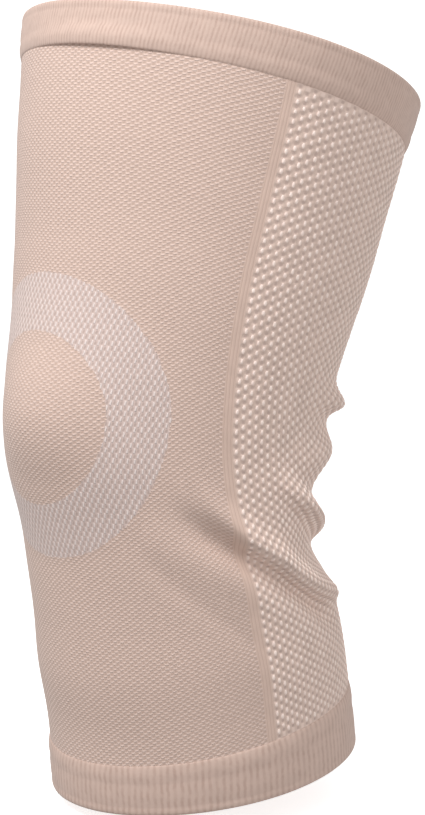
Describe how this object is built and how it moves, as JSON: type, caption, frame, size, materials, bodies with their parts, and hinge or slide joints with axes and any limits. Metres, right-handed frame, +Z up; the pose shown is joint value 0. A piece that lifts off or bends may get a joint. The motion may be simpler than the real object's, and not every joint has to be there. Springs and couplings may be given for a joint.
{
  "type": "knee sleeve",
  "caption": "Knitted compression knee sleeve in its worn, slightly bent form, open at both ends, with ribbed cuffs, a pale ring round the kneecap and a mesh back.",
  "frame": {"origin": "inside the sleeve, on its centre line at the middle of the knee", "axes": "+Z up the leg, -Y out of the kneecap, X from side to side"},
  "size_m": [0.1515, 0.17, 0.2928],
  "materials": {
    "cuff_rib": "beige ribbed elastic knit, matt",
    "front_knit": "beige fine knit, matt",
    "ring_knit": "pale pinkish-white open knit, matt",
    "strip_knit": "beige plain knit, matt",
    "mesh_knit": "greyish beige eyelet mesh with whitish raised stitches, matt"
  },
  "bodies": {
    "root": {"top_cuff": "cuff_rib", "front_panel": "front_knit", "kneecap_ring": "ring_knit", "kneecap_dome": "front_knit", "side_strip_left": "strip_knit", "side_strip_right": "strip_knit", "back_panel": "mesh_knit", "bottom_cuff": "cuff_rib"}
  },
  "joints": []
}
